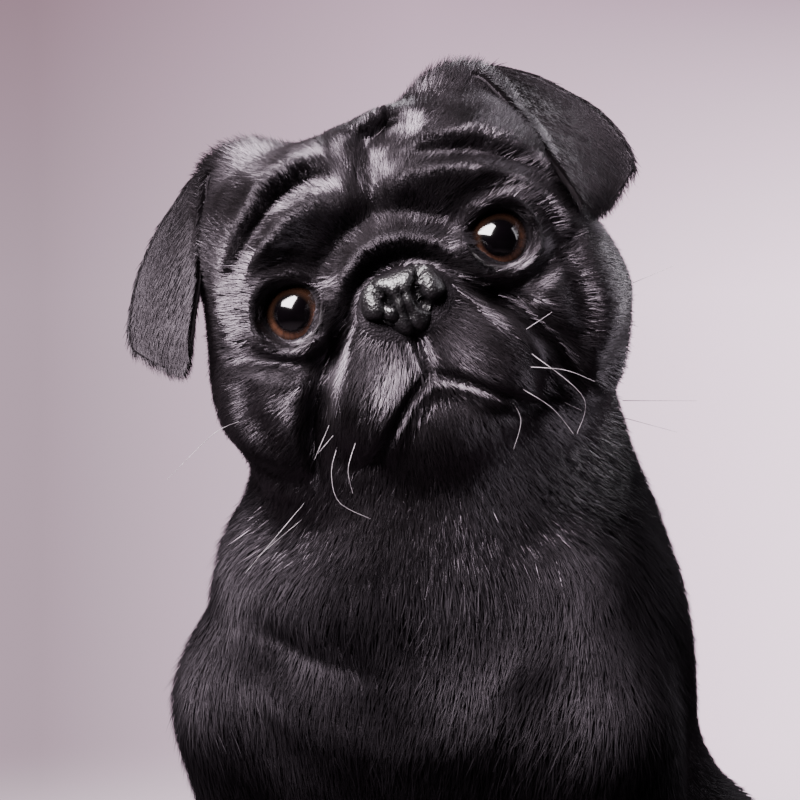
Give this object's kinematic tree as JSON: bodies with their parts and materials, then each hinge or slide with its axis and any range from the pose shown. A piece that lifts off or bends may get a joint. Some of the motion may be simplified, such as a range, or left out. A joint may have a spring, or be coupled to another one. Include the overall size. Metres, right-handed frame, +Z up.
{
  "type": "pug",
  "caption": "Black pug sitting upright with its head tilted, folded ears, wrinkled face and curled tail; a still life-size animal model.",
  "frame": {"origin": "centre of the footprint on the floor: middle of the bounding box in X and Y, at the flat soles and seat in Z", "axes": "-Y is the way the chest faces, +X is the dog's left, +Z is up"},
  "size_m": [0.2144, 0.3166, 0.4],
  "materials": {
    "coat": "short glossy black hair",
    "leather": "moist pebbled black nose skin",
    "eye": "wet dark brown eye",
    "claw": "smooth black horn"
  },
  "bodies": {
    "root": {"claw_fore_left_1": "claw", "claw_fore_left_2": "claw", "claw_fore_left_3": "claw", "claw_fore_left_4": "claw", "claw_fore_right_1": "claw", "claw_fore_right_2": "claw", "claw_fore_right_3": "claw", "claw_fore_right_4": "claw", "claw_hind_left_1": "claw", "claw_hind_left_2": "claw", "claw_hind_left_3": "claw", "claw_hind_left_4": "claw", "claw_hind_right_1": "claw", "claw_hind_right_2": "claw", "claw_hind_right_3": "claw", "claw_hind_right_4": "claw", "ear_left": "coat", "ear_right": "coat", "eye_left": "eye", "eye_right": "eye", "fore_paw_left": "coat", "fore_paw_right": "coat", "foreleg_lower_left": "coat", "foreleg_lower_right": "coat", "foreleg_upper_left": "coat", "foreleg_upper_right": "coat", "head": "coat", "hind_foot_left": "coat", "hind_foot_right": "coat", "neck": "coat", "nose_pad": "leather", "rump": "coat", "tail": "coat", "thigh_left": "coat", "thigh_right": "coat", "torso": "coat"}
  },
  "joints": []
}
